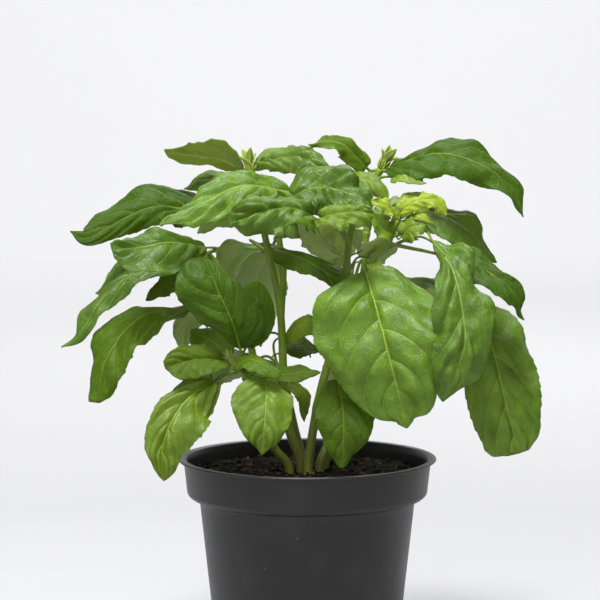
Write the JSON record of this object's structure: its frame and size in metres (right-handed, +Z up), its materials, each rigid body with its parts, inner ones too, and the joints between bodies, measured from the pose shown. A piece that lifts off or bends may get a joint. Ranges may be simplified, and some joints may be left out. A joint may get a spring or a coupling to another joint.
{
  "type": "potted basil plant",
  "caption": "Bushy basil plant with large puckered leaves on leafy stems, growing from soil in a round tapered nursery pot.",
  "frame": {"origin": "centre of the pot's underside", "axes": "+Z up the pot's axis, -Y towards the side that the picture shows, +X to the right in the picture"},
  "size_m": [0.2429, 0.1612, 0.2779],
  "materials": {
    "pot": "satin",
    "soil": "matte",
    "leaf": "satin"
  },
  "bodies": {
    "root": {"pot": "pot", "soil": "soil", "leafy_stem_left": "leaf", "leafy_stem_tall": "leaf", "leafy_stem_right": "leaf", "leafy_stem_back_right": "leaf", "leafy_stem_rear_left": "leaf", "leafy_stem_rear_right": "leaf"}
  },
  "joints": []
}
